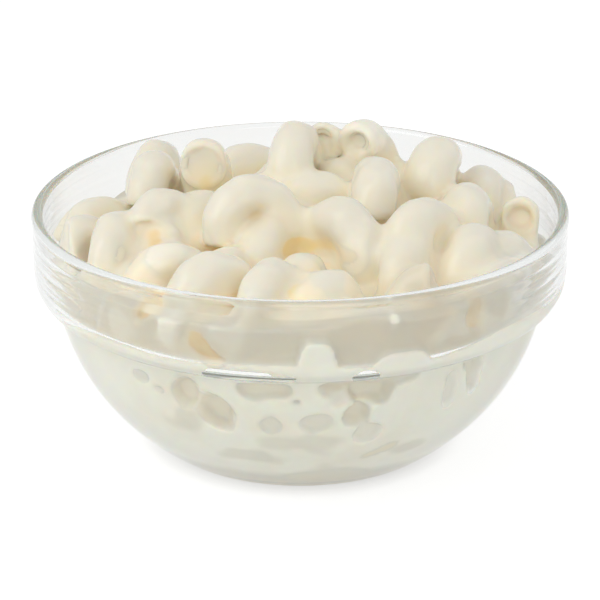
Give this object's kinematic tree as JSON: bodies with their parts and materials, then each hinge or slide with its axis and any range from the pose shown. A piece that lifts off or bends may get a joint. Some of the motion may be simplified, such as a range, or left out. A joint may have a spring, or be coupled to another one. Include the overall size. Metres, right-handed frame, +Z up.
{
  "type": "macaroni and cheese in a glass bowl",
  "caption": "Elbow macaroni in white cheese sauce, heaped above the rim of a clear glass stacking bowl with a straight band and a flat foot.",
  "frame": {"origin": "middle of the bowl's flat foot, on the surface it stands on", "axes": "+Z up; the bowl is round about Z; the shown front of the heap faces -Y and its highest elbow is on the +X side"},
  "size_m": [0.12, 0.12, 0.0705],
  "materials": {
    "clear_glass": "clear pressed glass, smooth and glossy, faintly green where it is thick",
    "cheese_sauce": "ivory white cheese sauce, smooth, soft satin gloss, light passes a little way in",
    "cooked_pasta": "cooked elbow macaroni, pale cream yellow, smooth, satin under a thin film of sauce"
  },
  "bodies": {
    "root": {"glass_bowl": "clear_glass", "macaroni_heap": "cheese_sauce"}
  },
  "joints": []
}
